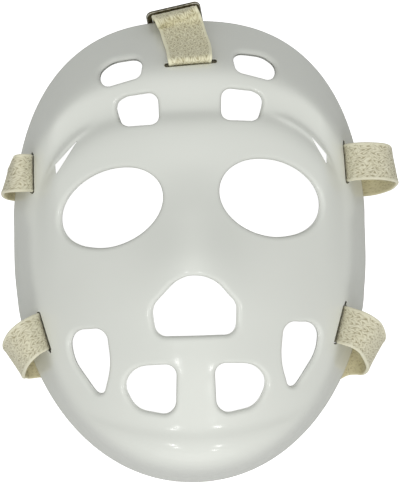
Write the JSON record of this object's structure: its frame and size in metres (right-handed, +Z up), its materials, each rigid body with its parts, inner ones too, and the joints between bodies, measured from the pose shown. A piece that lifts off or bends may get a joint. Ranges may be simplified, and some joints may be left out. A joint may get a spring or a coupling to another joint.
{
  "type": "street hockey goalie mask",
  "caption": "One-piece moulded plastic goalie mask with eye, nose, mouth and vent holes, woven elastic side and crown straps and a metal strap slide.",
  "frame": {"origin": "on the ground under the middle of the bounding box, the mask lying face up on its back edge", "axes": "+Z up out of the face, +Y up the face towards the forehead, +X to the right of a viewer who looks at the face"},
  "size_m": [0.2196, 0.2628, 0.1012],
  "materials": {
    "plastic": "glossy off-white moulded polyethylene",
    "elastic": "matt ecru woven elastic",
    "metal": "worn nickel-plated steel"
  },
  "bodies": {
    "root": {"shell": "plastic", "upper_band": "elastic", "lower_band": "elastic", "top_strap": "elastic", "slide_buckle": "metal"}
  },
  "joints": []
}
